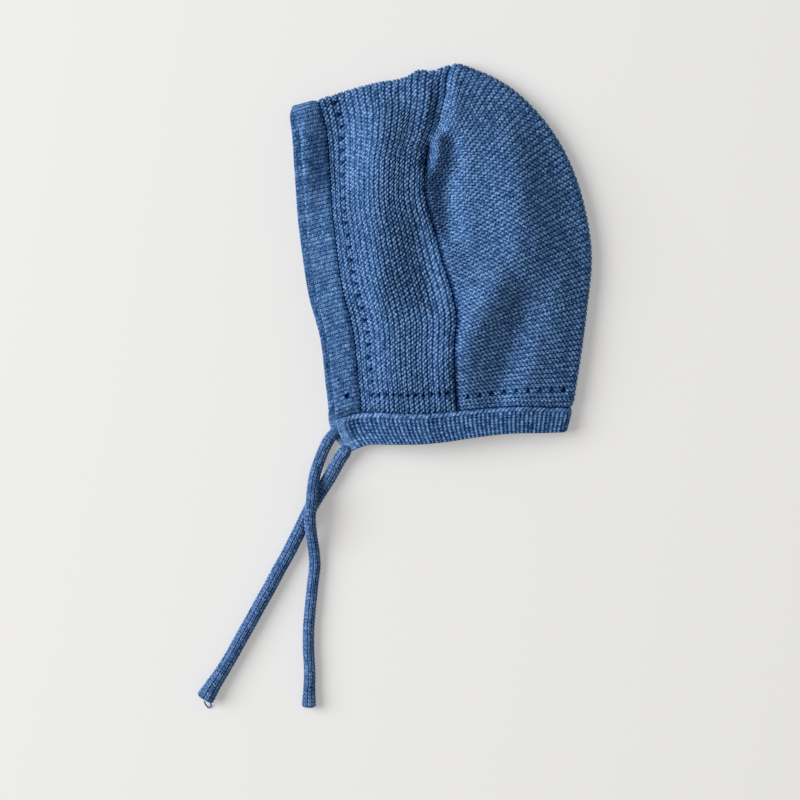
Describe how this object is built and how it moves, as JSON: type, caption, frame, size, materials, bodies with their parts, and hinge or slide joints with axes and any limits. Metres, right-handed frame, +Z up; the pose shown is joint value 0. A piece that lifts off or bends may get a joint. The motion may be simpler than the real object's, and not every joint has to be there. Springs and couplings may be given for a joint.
{
  "type": "baby bonnet",
  "caption": "Blue knitted baby bonnet lying on its side, with a ribbed neck band and knitted cord ties.",
  "frame": {"origin": "on the table, below the middle of the bonnet's box without its ties", "axes": "+X from the face opening to the back of the head, +Y from the neck to the crown, +Z up from the table, through the near side"},
  "size_m": [0.1974, 0.3212, 0.0272],
  "materials": {
    "knit": "matt knitted wool or cotton, blue",
    "cord": "matt knitted cord of the same yarn, blue"
  },
  "bodies": {
    "root": {"front_band": "knit", "hood_panel": "knit", "back_panel": "knit", "neck_band": "knit", "tie_near": "cord", "tie_far": "cord"}
  },
  "joints": []
}
